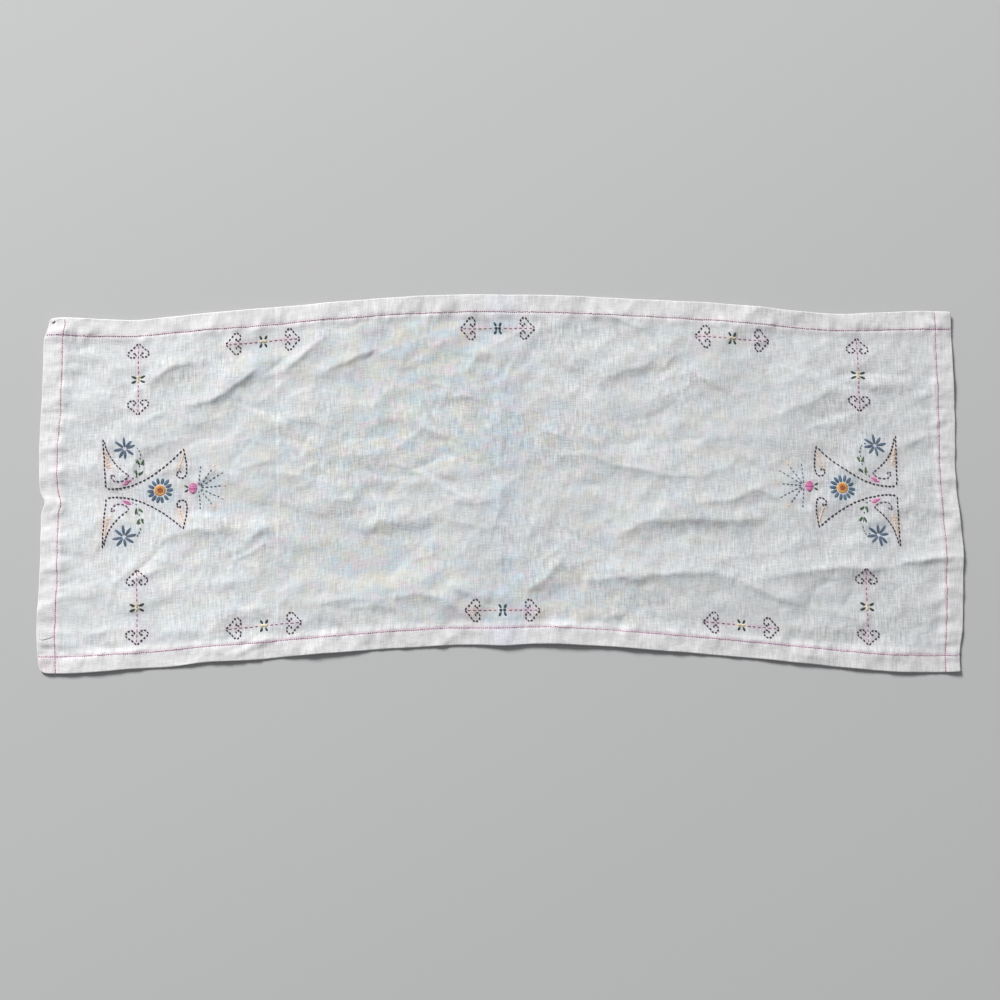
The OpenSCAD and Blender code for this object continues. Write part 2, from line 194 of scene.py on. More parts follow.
# Wrinkles of the cloth as it lies.  Each has the height of its crest, or the depth of a groove
# if below 0, the widths of its near and far flanks, and its line from left to right, all in mm.
# cloth_height multiplies all the heights and widths by the two factors.
HEIGHT_FACTOR = 1.5
WIDTH_FACTOR = 1.25
WRINKLES = [
    # Far left quarter
    (3.0, 5, 16, [(-348, 84), (-323, 88), (-303, 97), (-286, 111), (-262, 131)]),
    (1.6, 5, 12, [(-385, 108), (-366, 125), (-346, 132), (-322, 137)]),
    (2.0, 5, 12, [(-240, 122), (-219, 137), (-202, 154), (-184, 166)]),
    (1.9, 4, 12, [(-196, 121), (-173, 130), (-153, 142), (-136, 150)]),
    (-1.5, 8, 5, [(-140, 146), (-123, 131), (-107, 119), (-88, 128)]),
    (-1.4, 8, 5, [(-450, 163), (-432, 155), (-414, 152), (-396, 160)]),
    (1.0, 4, 10, [(-398, 62), (-380, 70), (-360, 77)]),
    (0.8, 3, 8, [(-384, 39), (-368, 44), (-350, 49)]),
    # The long groove along the left half
    (-3.0, 12, 7, [(-506, -9), (-476, -14), (-447, -12), (-427, -15), (-398, -19), (-370, -18),
                   (-330, -22), (-298, -22), (-270, -28), (-243, -28)]),
    (-3.2, 10, 4, [(-262, -24), (-240, -28), (-224, -37), (-198, -44), (-172, -52), (-149, -60),
                   (-130, -63), (-112, -60), (-88, -56), (-64, -42)]),
    (1.2, 4, 9, [(-292, 17), (-270, 20), (-248, 24)]),
    (1.0, 6, 10, [(-262, 12), (-225, 9), (-206, 2)]),
    (1.0, 5, 8, [(-198, -17), (-169, -18), (-147, -15)]),
    (0.7, 4, 9, [(-194, 27), (-153, 30), (-124, 35)]),
    # Near left quarter
    (2.0, 7, 14, [(-372, -66), (-358, -58), (-344, -52), (-329, -50), (-312, -53), (-297, -43)]),
    (1.3, 4, 9, [(-284, -65), (-267, -57), (-255, -46)]),
    (-1.6, 8, 6, [(-228, -82), (-198, -81), (-175, -88), (-156, -93), (-136, -99)]),
    (-2.2, 9, 4, [(-140, -101), (-123, -93), (-114, -82), (-104, -70)]),
    (-1.2, 8, 8, [(-450, -140), (-430, -148), (-404, -149), (-380, -148)]),
    (-2.4, 9, 5, [(-392, -151), (-380, -149), (-368, -139), (-355, -134), (-336, -137), (-316, -138)]),
    (1.2, 6, 10, [(-215, -134), (-185, -129), (-159, -126), (-136, -127), (-112, -124)]),
    (3.0, 7, 22, [(-118, -124), (-94, -121), (-74, -124), (-54, -133), (-38, -143), (-20, -150)]),
    (1.2, 6, 6, [(-60, -110), (-40, -118), (-15, -128)]),
    # Middle
    (0.6, 8, 6, [(1, 20), (0, 50), (2, 80), (6, 106)]),
    (1.0, 9, 9, [(4, 100), (13, 128), (26, 152)]),
    (1.2, 3, 5, [(-66, 94), (-38, 94), (-10, 91)]),
    (1.1, 4, 4, [(-58, 83), (-35, 52), (-8, 20)]),
    (0.8, 3, 5, [(-106, 74), (-80, 60), (-56, 47)]),
    (0.9, 5, 5, [(-5, 8), (-3, -20), (-6, -50)]),
    (1.0, 4, 6, [(-64, -42), (-35, -46), (-6, -51)]),
    # Far right quarter
    (-1.5, 10, 7, [(56, 131), (77, 123), (97, 109), (112, 112)]),
    (1.5, 6, 12, [(104, 112), (133, 124), (159, 132), (172, 138)]),
    (1.4, 8, 14, [(203, 128), (228, 114), (255, 98)]),
    (1.5, 6, 12, [(310, 84), (342, 89), (359, 99), (377, 110)]),
    (1.2, 6, 10, [(300, 130), (325, 123), (345, 113)]),
    (0.9, 3, 5, [(40, 61), (56, 55), (72, 49)]),
    (0.9, 3, 5, [(89, 58), (100, 49), (112, 40)]),
    (1.3, 5, 9, [(434, 36), (453, 45), (482, 55)]),
    # Right half, along the middle
    (1.3, 4, 9, [(58, 30), (84, 31), (104, 27), (126, 19), (153, 16), (176, 10), (198, 7), (218, 7),
                 (240, 14)]),
    (-1.3, 7, 4, [(66, -10), (80, -2), (97, -3), (120, -3)]),
    (2.3, 5, 16, [(168, -34), (198, -26), (225, -21), (251, -17), (270, -9), (283, -6), (297, -15),
                  (320, -26)]),
    (3.0, 7, 13, [(120, -62), (143, -48), (162, -41), (185, -40), (211, -40), (238, -41), (261, -42),
                  (288, -40)]),
    (-1.4, 10, 5, [(54, -46), (74, -57), (94, -64), (117, -77), (130, -84)]),
    # Near right quarter
    (1.8, 6, 9, [(24, -118), (45, -104), (68, -85)]),
    (-1.8, 10, 6, [(40, -131), (68, -118), (94, -109)]),
    (2.8, 6, 12, [(88, -107), (113, -105), (140, -103), (166, -100), (192, -98), (218, -98), (238, -100),
                  (254, -107)]),
    (2.2, 6, 13, [(244, -102), (270, -113), (290, -121), (310, -127), (332, -134)]),
    (2.0, 5, 10, [(290, -101), (323, -98), (349, -94), (375, -92), (398, -94), (424, -92), (447, -85)]),
    (2.6, 4, 9, [(430, -90), (447, -86), (473, -84), (506, -80)]),
    (1.0, 5, 7, [(110, -150), (120, -143), (131, -147)]),
    (1.0, 7, 10, [(130, -160), (150, -157), (175, -156)]),
    (1.2, 8, 10, [(300, -152), (328, -160), (350, -164)]),
    (1.2, 10, 12, [(440, -110), (452, -130), (466, -160)]),
]

# The cloth lies a little out of square, and its edges bulge outwards, or inwards if below 0, in a
# few places along them: (middle, reach, bulge) in mm
SKEW = -0.017
FAR_BULGES = [(-490, 40, 2.5), (-390, 40, -3), (-60, 120, 1.5), (240, 45, 1.5), (360, 50, -2.5),
              (470, 45, 3)]
NEAR_BULGES = [(-400, 40, -2), (-320, 35, -3), (-100, 90, 2), (0, 30, 2.5), (300, 90, -2.5),
               (490, 40, -2)]
LEFT_BULGES = [(45, 55, 3), (-9, 9, -5), (-150, 50, 3), (187, 13, -5)]
RIGHT_BULGES = [(20, 35, -2.5), (-60, 25, 2.5), (-185, 40, -7)]

# Creases pressed in while the runner was stored folded in quarters: their height and the widths of
# their left and right flanks in mm, and where they cross the runner in m
PRESS_CREASES = [
    (-0.9, 6, 3, -0.244), (0.75, 1.0, 1.6, -0.2425), (0.6, 4, 4, 0.0), (0.35, 4, 4, 0.249),
]


def smooth_line(points, step=6 * MM):
    """Points along a smooth curve through the given ones."""
    p = np.array(points, float)
    p = np.vstack([2 * p[0] - p[1], p, 2 * p[-1] - p[-2]])
    line = []
    for a, b, c, d in zip(p[:-3], p[1:-2], p[2:-1], p[3:]):
        count = max(2, int(np.hypot(*(c - b)) / step))
        for t in np.arange(count) / count:
            line.append(0.5 * (2 * b + (c - a) * t + (2 * a - 5 * b + 4 * c - d) * t ** 2
                               + (3 * b - a - 3 * c + d) * t ** 3))
    return np.array(line + [p[-2]])


def wrinkle_height(x, y, height, near_width, far_width, points):
    """Height of one wrinkle over the points x, y, with flanks that die away from its line."""
    line = smooth_line(points)
    reach = 5 * max(near_width, far_width)
    low, high = line.min(0) - reach, line.max(0) + reach
    near = (x > low[0]) & (x < high[0]) & (y > low[1]) & (y < high[1])
    result = np.zeros(len(x))
    if not near.any():
        return result
    px, py = x[near], y[near]
    best = np.full(len(px), np.inf)
    side = np.zeros(len(px))
    along = np.zeros(len(px))
    run = np.concatenate([[0], np.cumsum(np.hypot(*np.diff(line, axis=0).T))])
    for i, (a, b) in enumerate(zip(line[:-1], line[1:])):
        d = b - a
        t = np.clip(((px - a[0]) * d[0] + (py - a[1]) * d[1]) / (d @ d), 0, 1)
        ex, ey = px - a[0] - t * d[0], py - a[1] - t * d[1]
        square = ex * ex + ey * ey
        closer = square < best
        best = np.where(closer, square, best)
        side = np.where(closer, np.sign(d[0] * ey - d[1] * ex), side)
        along = np.where(closer, (run[i] + t * (run[i + 1] - run[i])) / run[-1], along)
    rounding = 1.0 * MM
    distance = np.sqrt(best + rounding ** 2) - rounding
    width = np.where(side > 0, far_width, near_width)
    fade = np.sin(np.pi * np.clip(along, 0.001, 0.999)) ** 0.55
    result[near] = height * fade * np.exp(-distance / width)
    return result


def small_wrinkles(x, y, count=260, seed=11):
    """Many short shallow creases, mostly along the runner."""
    rng = np.random.default_rng(seed)
    total = np.zeros(len(x))
    for _ in range(count):
        middle = np.array([rng.uniform(-0.5, 0.5), rng.uniform(-0.2, 0.2)])
        angle = math.radians(rng.normal(5, 32))
        reach = rng.uniform(10, 38) * MM
        along = heading(angle)
        bend = turned(along) * rng.uniform(-0.25, 0.25) * reach
        height = rng.choice([-1, 1]) * rng.uniform(0.2, 0.75) * MM
        near_width, far_width = rng.uniform(1.8, 7, 2) * MM
        points = [middle - along * reach, middle + bend, middle + along * reach]
        total += wrinkle_height(x, y, height, near_width, far_width, points)
    return total


def press_crease(x, y, height, left_width, right_width, at):
    """A fold line straight across the runner."""
    offset = x - at + 1.2 * MM * ripple(x * 0, y, 0.09, 71)
    width = np.where(offset < 0, left_width, right_width) * MM
    strength = 0.75 + 0.35 * ripple(x * 0 + at, y, 0.05, 72)
    return height * MM * strength * np.exp(-np.sqrt(offset ** 2 + (0.6 * MM) ** 2) / width)


def edge_distances(u, v):
    """Distance from a point of the cloth to the nearer end edge and to the nearer long edge."""
    return half_length - np.abs(u), half_width - np.abs(v)


def hem_shares(u, v):
    """1 on the folded hem, 0 on the single cloth, for the end hems and for the long ones."""
    top, foot = hem_width - 0.6 * MM, hem_width + 8 * MM
    return tuple(smooth_step(foot, top, distance) for distance in edge_distances(u, v))


def edge_drop(u, v):
    """How far the face turns down round the hem's outer fold."""
    radius = 1.1 * MM
    drop = 0
    for distance in edge_distances(u, v):
        inside = 1 - np.clip(distance / radius, 0, 1)
        drop = np.maximum(drop, radius * (1 - np.sqrt(1 - inside ** 2)))
    return drop


def hem_puckers(u, v):
    """Gathers that the hem stitches pull into the cloth, and the groove of the stitch line."""
    end, side = edge_distances(u, v)
    total = np.zeros(len(u))
    for distance, run, seed in ((end, v, 31), (side, u + np.sign(v), 33)):
        reach = np.exp(-np.abs(distance - hem_line_inset) / (14 * MM))
        skew = run + 0.25 * distance * ripple(run, 0 * run, 0.08, seed + 7)
        total += reach * (1.7 * MM * ripple(skew, distance * 0.3, 19 * MM, seed)
                          + 0.8 * MM * ripple(skew, distance * 0.5, 8 * MM, seed + 1))
        pull = 0.3 + 0.3 * ripple(run, 0 * run, 45 * MM, seed + 4)
        total -= pull * MM * hump(distance - hem_line_inset, 1.6)
    return total


def cloth_height(x, y):
    """Height of the cloth's face above the table at x, y."""
    u, v = unlay(x, y)
    folds = np.zeros(len(x))
    bent_x, bent_y = (a + 2.2 * MM * ripple(x, y, 0.024, seed) for a, seed in ((x, 81), (y, 82)))
    for height, near_width, far_width, points in WRINKLES:
        widths = WIDTH_FACTOR * MM * np.array([near_width, far_width])
        folds += wrinkle_height(bent_x, bent_y, HEIGHT_FACTOR * MM * height, *widths,
                                np.array(points) * MM)
    folds *= 1 + 0.35 * ripple(x, y, 0.028, 83)
    calm = 1 - 0.6 * np.clip(np.abs(folds) / (1.3 * MM), 0, 1)
    calm *= 1 + 0.15 * smooth_step(60 * MM, -60 * MM, x)
    for crease in PRESS_CREASES:
        folds += press_crease(x, y, *crease)
    waves = (1.2 * MM * ripple(x * 0.6, y, 0.075, 5) + 0.6 * MM * ripple(x * 0.7, y, 0.034, 6)
             + 0.40 * MM * ripple(x, y, 0.014, 7) + 0.11 * MM * ripple(x, y, 0.006, 8)
             + folds + calm * (1.6 * crumple(x, y) + 1.35 * small_wrinkles(x, y)) + hem_puckers(u, v))
    # The waves are squeezed softly between the table and a top height
    mean_rise, settle, top = 1.4 * MM, 0.6 * MM, 5.4 * MM
    raised = mean_rise + waves
    raised = 0.5 * (raised + np.sqrt(raised ** 2 + settle ** 2))
    raised = top - 0.5 * (top - raised + np.sqrt((top - raised) ** 2 + settle ** 2))
    end, side = hem_shares(u, v)
    hem = (hem_thickness - layer) * np.maximum(end, side) + 0.4 * MM * end * side
    return UNDERSIDE_ROOM + layer + hem + raised - edge_drop(u, v)


def bulge(rows, place):
    """How far an edge bulges outwards at a place along it."""
    total = 0
    for middle, reach, height in rows:
        total = total + height * MM * hump(place - middle * MM, reach)
    return total


def cloth_shift(x, y):
    """How far the cloth strays sideways from where it was laid out straight."""
    u, v = unlay(x, y)
    end, side = edge_distances(u, v)
    # The corners are blunt, most of all the left ones, and the bulges die away inwards
    blunt = (2.2 - 1.4 * np.sign(u)) * MM * np.exp(-(end + side) / (5 * MM))
    near_end, near_side = (smooth_step(48 * MM, 0, distance) for distance in (end, side))
    out_x = np.where(u < 0, bulge(LEFT_BULGES, v), bulge(RIGHT_BULGES, v)) * near_end
    out_y = np.where(v < 0, bulge(NEAR_BULGES, u), bulge(FAR_BULGES, u)) * near_side
    # The left hem is wider at its far end, and the cloth is drawn nearer along a far band
    wide_hem = hump(u + half_length - hem_line_inset, 14)
    along = (SKEW * v + 1.3 * MM * hump(v, 60) * smooth_step(0, 60 * MM, end)
             + 3 * MM * wide_hem * smooth_step(20 * MM, 120 * MM, v))
    nearer = 2.2 * MM * hump(v - 145 * MM, 35)
    return (along + 0.4 * MM * ripple(x, y, 0.03, 42) + np.sign(u) * (out_x - blunt),
            0.4 * MM * ripple(x, y, 0.035, 44) + np.sign(v) * (out_y - blunt) - nearer)


def cloth_points(x, y):
    """Points of the cloth's face over the places x, y of the CAD model."""
    x, y = (np.asarray(a, float).ravel() for a in (x, y))
    shift_x, shift_y = cloth_shift(x, y)
    return np.stack([x + shift_x, y + shift_y, cloth_height(x, y)], 1)


# ---- Mesh making ----

def add_object(name, data):
    piece = bpy.data.objects.new(name, data)
    bpy.context.scene.collection.objects.link(piece)
    return piece


def make_mesh(name, vertices, faces):
    mesh = bpy.data.meshes.new(name)
    mesh.from_pydata(np.asarray(vertices).tolist(), [], [tuple(f) for f in faces])
    mesh.update()
    mesh.polygons.foreach_set("use_smooth", np.ones(len(mesh.polygons), bool))
    return add_object(name, mesh)


def add_attribute(piece, name, values, kind="FLOAT_VECTOR"):
    attribute = piece.data.attributes.new(name, kind, "POINT")
    attribute.data.foreach_set("vector" if kind == "FLOAT_VECTOR" else "value",
                               np.asarray(values, np.float32).ravel())


def finish_piece(piece, material, nodes):
    """Gives a piece its material, and fixes it to the cloth's halves."""
    piece.data.materials.append(material)
    x = np.array([vertex.co.x for vertex in piece.data.vertices])
    if x.min() < FOLD_HALF_WIDTH and x.max() > -FOLD_HALF_WIDTH:
        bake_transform(piece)
    else:
        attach(piece, "left_half" if x.mean() < 0 else "right_half")
    if nodes:
        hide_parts(*nodes)
    return piece


def grid_faces(rows, columns, start=0, flip=False):
    r, c = np.meshgrid(np.arange(rows - 1), np.arange(columns - 1), indexing="ij")
    a = (start + r * columns + c).ravel()
    quads = np.stack([a, a + columns, a + columns + 1, a + 1], 1)
    return quads[:, ::-1] if flip else quads


def spaced(half, fine_half, step, fine_step):
    """Positions from -half to half, closer together in the middle, at the seams and at the edges."""
    seams = half - np.concatenate([hem_line_inset + np.array([-1.3, -0.6, 0, 0.6]) * MM,
                                   hem_width + np.array([0, 0.9, 1.8, 2.7]) * MM])
    edge = half - np.array([1.4, 1.0, 0.7, 0.42, 0.2, 0.06, 0]) * MM
    coarse = np.linspace(fine_half, edge[0], int((edge[0] - fine_half) / step) + 1)
    coarse = coarse[np.abs(coarse[:, None] - seams).min(1) > 0.45 * MM]
    ahead = np.sort(np.concatenate([np.arange(0, fine_half, fine_step), coarse, seams, edge[1:]]))
    return np.concatenate([-ahead[:0:-1], ahead])


def closed_sheet(name, top, bottom, rows, columns):
    """A closed mesh between a top and a bottom grid of points."""
    count = rows * columns
    index = np.arange(count).reshape(rows, columns)
    rim = np.concatenate([index[0, :-1], index[:-1, -1], index[-1, :0:-1], index[:0:-1, 0]])
    after = np.roll(rim, -1)
    sides = np.stack([rim, rim + count, after + count, after], 1)
    faces = np.concatenate([grid_faces(rows, columns), grid_faces(rows, columns, count, True), sides])
    return make_mesh(name, np.concatenate([top, bottom]), faces)


# ---- The cloth ----

PRESSED_LINE = np.arange(-0.2475, -0.238, 0.9 * MM) + 0.04 * MM
U_VALUES = np.sort(np.concatenate([spaced(half_length, 8 * MM, 1.9 * MM, 1 * MM), PRESSED_LINE]))
V_VALUES = spaced(half_width, 4 * MM, 1.9 * MM, 1.9 * MM)
GRID_U, GRID_V = (a.ravel() for a in np.meshgrid(U_VALUES, V_VALUES, indexing="ij"))


def grid_normals(points):
    """Unit normals of a grid of points."""
    return unit(np.cross(np.gradient(points, axis=0), np.gradient(points, axis=1)))


FACE = cloth_points(*lay(GRID_U, GRID_V)).reshape(len(U_VALUES), len(V_VALUES), 3)
FACE_NORMALS = grid_normals(FACE)


def on_cloth(x, y, height=0):
    """Points at a height over the cloth's face, and its normals, for places x, y of the CAD model."""
    u, v = unlay(x, y)
    cells, shares = [], []
    for places, values in ((U_VALUES, u), (V_VALUES, v)):
        values = np.clip(values, places[0], places[-1] - 1e-9)
        cell = np.searchsorted(places, values, side="right") - 1
        cells.append(cell)
        shares.append((values - places[cell]) / (places[cell + 1] - places[cell]))
    (i, j), (s, t) = cells, (share[..., None] for share in shares)
    found = []
    for grid in (FACE, FACE_NORMALS):
        found.append((1 - s) * ((1 - t) * grid[i, j] + t * grid[i, j + 1])
                     + s * ((1 - t) * grid[i + 1, j] + t * grid[i + 1, j + 1]))
    points, normals = found
    normals = unit(normals)
    return points + normals * np.asarray(height)[..., None], normals


# Dye that has bled from the threads: the nodes' first words, its reach in mm, strength and colour
BLEEDS = [
    ("stem", 2.8, 0.5, (1.0, 0.74, 0.86)),
    ("scroll", 3.5, 0.35, (0.97, 0.86, 0.93)),
    ("wing_outline", 7, 0.45, (0.97, 0.91, 0.95)),
    ("wing_filling", 3.2, 0.8, (1.0, 0.88, 0.80)),
    ("side_flowers", 4, 0.6, (0.87, 0.94, 1.0)),
    ("daisy_petals", 4, 0.6, (0.86, 0.94, 1.0)),
    ("bud_rays", 3.5, 0.5, (0.88, 0.94, 1.0)),
    ("bud_left", 3.5, 0.7, (1.0, 0.72, 0.86)),
    ("bud_right", 3.5, 0.7, (1.0, 0.72, 0.86)),
]
HEM_BLEED = (1.0, 0.86, 0.93)
CORNER_STAIN = (0.95, 0.90, 0.91)
CENTRE_BAND_TINT = (0.91, 0.955, 1.03)


def stains_and_painted_light():
    """The tint of the cloth at each point of its grid, which multiplies the linen's own colour: its stains,
    the bleeds of dye and a patch of painted light.
    """
    x, y = lay(GRID_U, GRID_V)
    # Painted light: a patch near the left end is painted paler, standing in for more light falling there
    painted_light_patch = hump(x + 0.38, 100) * hump(y + 0.11, 60)
    tint = np.tile(1 + 0.11 * painted_light_patch[:, None], (1, 3))

    def cloth_tint(share, colour):
        tint[:] *= 1 - share[:, None] * (1 - np.array(colour))

    for start, reach, strength, colour in BLEEDS:
        spots = [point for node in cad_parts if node.startswith(start)
                 for a, b, *_ in stitches_of(node) for point in (a, (a + b) / 2, b)]
        tree = KDTree(len(spots))
        for i, spot in enumerate(spots):
            tree.insert((*spot, 0), i)
        tree.balance()
        low, high = np.min(spots, 0) - 3 * reach * MM, np.max(spots, 0) + 3 * reach * MM
        near = np.flatnonzero((x > low[0]) & (x < high[0]) & (y > low[1]) & (y < high[1]))
        away = np.array([tree.find((x[i], y[i], 0))[2] for i in near])
        share = np.zeros(len(x))
        share[near] = strength * hump(away, reach)
        cloth_tint(share, colour)
    end, side = edge_distances(GRID_U, GRID_V)
    patchy = 0.6 + 0.4 * ripple(GRID_U, GRID_V, 0.05, 91)
    for distance in (end, side):
        cloth_tint(patchy * hump(distance - hem_line_inset, 1.7), HEM_BLEED)
    # A bluer, darker band along the centre crease
    cloth_tint(patchy * hump(x - 4 * MM, 20), CENTRE_BAND_TINT)
    corner = smooth_step(hem_width, hem_width - 2 * MM, np.maximum(end, side))
    cloth_tint(corner * (GRID_U < 0) * (GRID_V < 0), CORNER_STAIN)
    return tint


def linen_cloth(material):
    """The whole cloth in one sheet, whose edges turn down round the hems' outer folds."""
    top = FACE.reshape(-1, 3)
    bottom = top - FACE_NORMALS.reshape(-1, 3) * layer
    piece = closed_sheet("linen_cloth", top, bottom, len(U_VALUES), len(V_VALUES))
    hem = np.maximum(*hem_shares(GRID_U, GRID_V))
    add_attribute(piece, "weave", np.tile(np.stack([GRID_U, GRID_V, hem], 1), (2, 1)))
    add_attribute(piece, "cloth_tint", np.tile(stains_and_painted_light(), (2, 1)))
    return finish_piece(piece, material, ("linen_panel_left", "linen_panel_right"))


def hem_strip(name, u_range, v_range, material, nodes):
    """The two layers of linen folded under the cloth's edge."""
    def steps(start, end):
        return np.linspace(start, end, max(9, int(abs(end - start) / (2.4 * MM))))

    u_values, v_values = steps(*u_range), steps(*v_range)
    if u_range[0] < 0 < u_range[1]:
        u_values = np.sort(np.concatenate([u_values, np.arange(-6.5, 7, 1) * MM]))
    u, v = (a.ravel() for a in np.meshgrid(u_values, v_values, indexing="ij"))
    gap = 0.04 * MM
    top, normals = on_cloth(*lay(u, v), -layer - gap)
    from_edge = np.minimum(*edge_distances(u, v))
    inner = np.minimum(hem_width - from_edge, from_edge) / (0.9 * MM)
    rounding = 0.35 + 0.65 * np.sqrt(np.clip(inner, 0, 1))
    bottom = top - normals * ((hem_thickness - layer - gap) * rounding)[:, None]
    piece = closed_sheet(name, top, bottom, len(u_values), len(v_values))
    add_attribute(piece, "weave", np.tile(np.stack([u, v, np.ones(len(u))], 1), (2, 1)))
    add_attribute(piece, "cloth_tint", np.ones((2 * len(u), 3)))
    return finish_piece(piece, material, nodes)


def hems(material):
    outer_u, outer_v = half_length - 0.5 * MM, half_width - 0.5 * MM
    inner_u, inner_v = half_length - hem_width, half_width - hem_width
    strips = []
    for row, v_range in (("far", (inner_v, outer_v)), ("near", (-outer_v, -inner_v))):
        strips.append(hem_strip(f"hem_{row}", (-inner_u, inner_u), v_range, material,
                                [f"hem_{row}_{side}" for side in SIDES]))
    for side, u_range in (("left", (-outer_u, -inner_u)), ("right", (inner_u, outer_u))):
        strips.append(hem_strip(f"hem_end_{side}", u_range, (-outer_v, outer_v), material,
                                [f"hem_{side}_end"]))
    return strips


# ---- Threads ----

TIP_STRAY = 0.12 * MM


def stitches_of(node):
    """Each stitch in a CAD node: its two tips, its width and its corners, as seen from above."""
    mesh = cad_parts[node].data
    points = np.array([vertex.co[:2] for vertex in mesh.vertices])
    places, index = np.unique(np.round(points, 6), axis=0, return_inverse=True)
    edges = index.ravel()[np.array([edge.vertices[:] for edge in mesh.edges])]
    label = np.arange(len(places))
    while True:
        lowest = np.minimum(label[edges[:, 0]], label[edges[:, 1]])
        new = label.copy()
        np.minimum.at(new, edges[:, 0], lowest)
        np.minimum.at(new, edges[:, 1], lowest)
        new = new[new]
        if (new == label).all():
            break
        label = new
    stitches = []
    for island in np.unique(label):
        corners = places[label == island]
        apart = norm(corners[:, None] - corners[None], axis=2)
        a, b = (corners[i] for i in np.unravel_index(apart.argmax(), apart.shape))
        offsets = (corners - a) @ turned(unit(b - a))
        stitches.append((a, b, np.ptp(offsets), len(corners)))
    return stitches


class Threads:
    """Collects the strands of one piece of embroidery, then makes them into one mesh."""

    def __init__(self, name, sides=10, rings=9):
        self.name, self.sides, self.rings = name, sides, rings
        self.paths, self.radii, self.dyes, self.backs = [], [], [], []
        self.random = np.random.default_rng(sum(map(ord, name)))
        self.draw = self.random.uniform

    def add(self, path, radius, dye=0.0, front=True):
        """A strand along plan points, which dives into the cloth at its ends."""
        path = np.asarray(path)
        run = np.linspace(0, len(path) - 1, self.rings)
        low = np.clip(run.astype(int), 0, len(path) - 2)
        share = (run - low)[:, None]
        self.paths.append(path[low] * (1 - share) + path[low + 1] * share)
        self.radii.append(radius)
        self.dyes.append(dye)
        self.backs.append(not front)

    def stitch(self, a, b, radius, dye=0.0, front=True):
        """One short straight stitch, with a little bow to it."""
        a, b = (tip + self.random.normal(0, TIP_STRAY, 2) for tip in (a, b))
        bow = turned(b - a) * self.random.normal(0, 0.03)
        self.add([a, (a + b) / 2 + bow, b], radius * self.random.normal(1, 0.06), dye, front)

    def satin(self, a, b, width, strands, dye=0.0, edge_dye=None, pointed=0.6):
        """A petal or leaf of strands side by side, which meet at its two tips."""
        across = turned(unit(b - a))
        radius = width / strands * 0.62
        t = np.linspace(0, 1, self.rings)
        spread = np.sin(np.pi * (0.08 + 0.84 * t)) ** pointed
        for i in range(strands):
            place = 2 * i / (strands - 1) - 1
            side = place * (width / 2 - radius * 0.6)
            early, late = self.draw(-0.04, 0.05, 2)
            along = early + (1 - early - late) * t
            path = a + along[:, None] * (b - a) + (side * spread)[:, None] * across
            rim = abs(place) > 0.9
            self.add(path, radius, edge_dye if rim and edge_dye is not None else dye)
        self.add([a, b], radius * 1.3, dye, front=False)

    def link(self, stitches, radius, reach=3.4 * MM):
        """Puts the thread on the underside between one stitch and the next."""
        places = np.array([tip for stitch in stitches for tip in stitch])
        owner = np.arange(len(places)) // 2
        apart = norm(places[:, None] - places[None], axis=2)
        apart[owner[:, None] == owner[None]] = np.inf
        used = np.zeros(len(places), bool)
        for flat in np.argsort(apart, axis=None):
            i, j = np.unravel_index(flat, apart.shape)
            if apart[i, j] > reach:
                break
            if not (used[i] or used[j]):
                used[i] = used[j] = True
                self.stitch(places[i], places[j], radius, front=False)

    def build(self, materials, slot, nodes=None, dyed=None):
        """Makes the strands into tubes that lie on the cloth, or under it, with their ends sunk in.

        The piece stands for the CAD node of its name where no nodes are given, and is dyed like
        its slot where no other is given."""
        rings, sides = self.rings, self.sides
        paths = np.array(self.paths)
        count = len(paths)
        size = (count, rings, sides)
        back = np.array(self.backs)[:, None]
        arch = np.sin(np.pi * np.linspace(0, 1, rings)[None])
        radius = np.array(self.radii)[:, None] * (0.45 + 0.55 * arch ** 0.5)
        rise = radius * np.where(back, 0.85 * arch ** 0.6 - 0.7, 1.15 * arch ** 0.6 - 0.75)
        u, v = unlay(paths[..., 0], paths[..., 1])
        depth = layer + (hem_thickness - layer) * np.maximum(*hem_shares(u, v))
        height = np.where(back, -depth - rise, rise)
        centres, normals = on_cloth(paths[..., 0], paths[..., 1], height)
        ahead = unit(np.gradient(centres, axis=1))
        aside = unit(np.cross(ahead, normals))
        up = np.cross(aside, ahead)
        angle = 2 * np.pi * np.arange(sides) / sides
        random = self.draw(0, 1, (count, 1, 1))
        reach = norm(np.diff(centres, axis=1), axis=2).cumsum(axis=1)
        reach = np.concatenate([np.zeros((count, 1)), reach], 1)[..., None]
        twist = 3.2 * MM
        lobes = 1 + 0.13 * np.cos(3 * angle + 2 * np.pi * (reach / twist + random))
        across = (radius[..., None] * lobes)[..., None]
        wide = (np.cos(angle) * 1.05)[:, None]
        tall = (np.where(back, 0.45, 0.88)[..., None] * np.sin(angle))[..., None]
        points = centres[:, :, None] + across * (wide * aside[:, :, None] + tall * up[:, :, None])
        points[..., 2] = np.maximum(points[..., 2], 0.02 * MM)
        index = np.arange(count * rings * sides).reshape(size)
        a, b = index[:, :-1], index[:, 1:]
        quads = np.stack([a, np.roll(a, -1, 2), np.roll(b, -1, 2), b], 3).reshape(-1, 4)
        caps = [*index[:, 0, ::-1], *index[:, -1]]
        piece = make_mesh(self.name, points.reshape(-1, 3), [*quads, *caps])
        strand = [np.broadcast_to(part, size) for part in (reach, angle / (2 * np.pi), random)]
        add_attribute(piece, "strand", np.stack(strand, 3))
        add_attribute(piece, "dye", np.broadcast_to(np.array(self.dyes)[:, None, None], size), "FLOAT")
        finish_piece(piece, materials[dyed or slot], (self.name,) if nodes is None else nodes)


# ---- Embroidery ----

ROWS = ("far", "near")
OUTLINE_RADIUS = 0.74 * MM
MOTIFS = [f"{row}_{place}" for row in ROWS
          for place in ("left", "centre_left", "centre_right", "right")]
MOTIFS += [f"{side}_end_{row}" for side in SIDES for row in ROWS]


